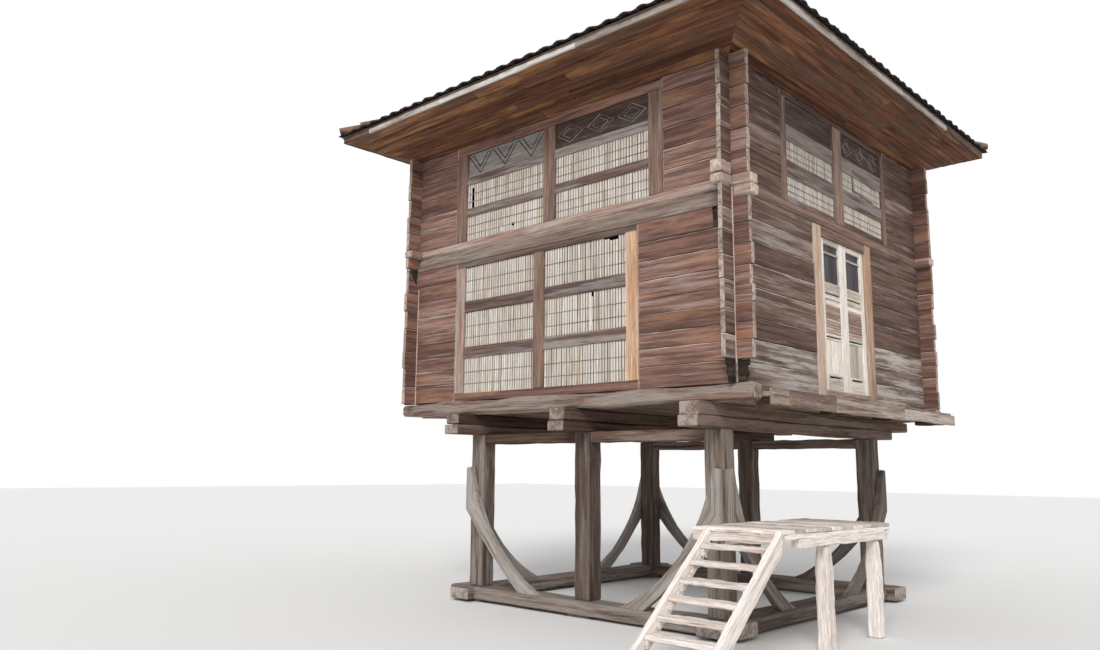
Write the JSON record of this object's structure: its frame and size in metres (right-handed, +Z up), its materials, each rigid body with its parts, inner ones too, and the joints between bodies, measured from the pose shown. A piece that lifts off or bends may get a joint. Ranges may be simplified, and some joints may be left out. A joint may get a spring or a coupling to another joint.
{
  "type": "raised granary",
  "caption": "Timber granary on posts with curved knee braces, plank walls crossing at the corners, lattice windows, a hipped tiled roof, a double door and an outside stair.",
  "frame": {"origin": "on the ground, at the centre of the underside of the stone below the middle front post", "axes": "+X along the front (lattice) wall towards the door wall, +Y from front to back, +Z up"},
  "size_m": [6.6152, 7.5593, 7.9012],
  "materials": {
    "stone": "rough",
    "post_wood": "weathered",
    "beam_wood": "weathered",
    "wall_wood": "weathered",
    "floor_wood": "weathered",
    "frame_wood": "weathered",
    "lattice_wood": "weathered",
    "carved_wood": "weathered",
    "jamb_wood": "weathered",
    "door_wood": "weathered",
    "ledge_wood": "bleached",
    "soffit_wood": "weathered",
    "fascia_wood": "weathered",
    "roof_wood": "weathered",
    "clay_tile": "weathered",
    "landing_wood": "bleached"
  },
  "bodies": {
    "body": {"padstones": "stone", "long_sleepers": "post_wood", "side_sleepers": "post_wood", "front_posts": "post_wood", "back_posts": "post_wood", "long_braces": "post_wood", "side_braces": "post_wood", "cross_beams": "beam_wood", "floor_beams": "beam_wood", "long_sills": "beam_wood", "side_sills": "beam_wood", "lower_floor": "floor_wood", "upper_floor": "floor_wood", "front_wall_lower": "wall_wood", "front_wall_upper": "wall_wood", "back_wall": "wall_wood", "left_wall": "wall_wood", "right_wall_near": "wall_wood", "right_wall_far": "wall_wood", "right_wall_upper": "wall_wood", "long_belts": "beam_wood", "side_belts": "beam_wood", "front_lower_frame": "frame_wood", "front_lower_lattice": "lattice_wood", "upper_long_frames": "frame_wood", "upper_long_lattices": "lattice_wood", "side_window_frames": "frame_wood", "side_lattices": "lattice_wood", "carved_panels": "carved_wood", "door_frame": "jamb_wood", "ledge_joists": "beam_wood", "ledge_planks": "ledge_wood", "soffit": "soffit_wood", "fascia": "fascia_wood", "roof_deck": "roof_wood", "roof_tiles": "clay_tile", "roof_caps": "clay_tile", "landing_frame": "landing_wood", "landing_boards": "landing_wood", "landing_posts": "landing_wood", "stair_stringers": "landing_wood", "stair_treads": "landing_wood"},
    "near_door_leaf": {"near_door_leaf": "door_wood"},
    "far_door_leaf": {"far_door_leaf": "door_wood"}
  },
  "joints": [
    {"name": "near_door_hinge", "type": "hinge", "parent": "body", "child": "near_door_leaf", "pos_m": [2.118, 1.646, 3.4], "axis": [0, 0, 1], "range_deg": [0, 90]},
    {"name": "far_door_hinge", "type": "hinge", "parent": "body", "child": "far_door_leaf", "pos_m": [2.118, 2.774, 3.4], "axis": [0, 0, -1], "range_deg": [0, 90]}
  ]
}
